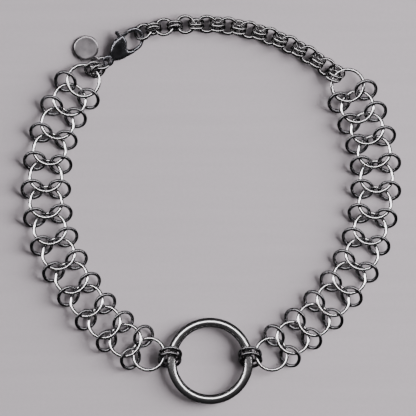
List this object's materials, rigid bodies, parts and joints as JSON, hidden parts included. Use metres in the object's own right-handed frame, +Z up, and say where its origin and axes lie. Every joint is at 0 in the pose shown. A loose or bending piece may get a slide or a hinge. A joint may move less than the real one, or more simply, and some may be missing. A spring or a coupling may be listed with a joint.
{
  "type": "chain choker",
  "caption": "Flat three-row steel ring choker with a large round front ring, an extension chain, a lobster clasp and a small bare round tag.",
  "frame": {"origin": "centre of the bounding box at its bottom, the surface the choker lies on", "axes": "+Z up from the surface, +Y from the large front ring towards the clasp, +X to the right as seen from above"},
  "size_m": [0.1409, 0.1442, 0.007],
  "materials": {
    "polished_steel": "polished stainless steel wire",
    "clasp_steel": "polished cast steel, a little darker",
    "tag_steel": "satin face with a polished rim"
  },
  "bodies": {
    "choker": {"left_link_01": "polished_steel", "left_link_02": "polished_steel", "left_link_03": "polished_steel", "left_link_04": "polished_steel", "left_link_05": "polished_steel", "left_link_06": "polished_steel", "left_link_07": "polished_steel", "left_link_08": "polished_steel", "left_link_09": "polished_steel", "left_link_10": "polished_steel", "left_link_11": "polished_steel", "left_link_12": "polished_steel", "left_link_13": "polished_steel", "left_edge_links": "polished_steel", "left_connector_upper": "polished_steel", "left_connector_lower": "polished_steel", "right_link_01": "polished_steel", "right_link_02": "polished_steel", "right_link_03": "polished_steel", "right_link_04": "polished_steel", "right_link_05": "polished_steel", "right_link_06": "polished_steel", "right_link_07": "polished_steel", "right_link_08": "polished_steel", "right_link_09": "polished_steel", "right_link_10": "polished_steel", "right_link_11": "polished_steel", "right_link_12": "polished_steel", "right_link_13": "polished_steel", "right_edge_links": "polished_steel", "right_connector_upper": "polished_steel", "right_connector_lower": "polished_steel", "centre_ring": "polished_steel", "extension_chain": "polished_steel", "end_link": "polished_steel", "left_end_link_a": "polished_steel", "left_end_link_b": "polished_steel", "clasp_link": "polished_steel", "tag": "tag_steel", "clasp_body": "clasp_steel"},
    "lever": {"clasp_lever": "clasp_steel"}
  },
  "joints": [
    {"name": "lever_hinge", "type": "hinge", "parent": "choker", "child": "lever", "pos_m": [-0.03296, 0.06255, 0.00305], "axis": [-0.1231, 0.1676, -0.9781], "range_deg": [0, 22], "stiffness_Nm_per_rad": 0.01, "springref_deg": -8.59}
  ]
}
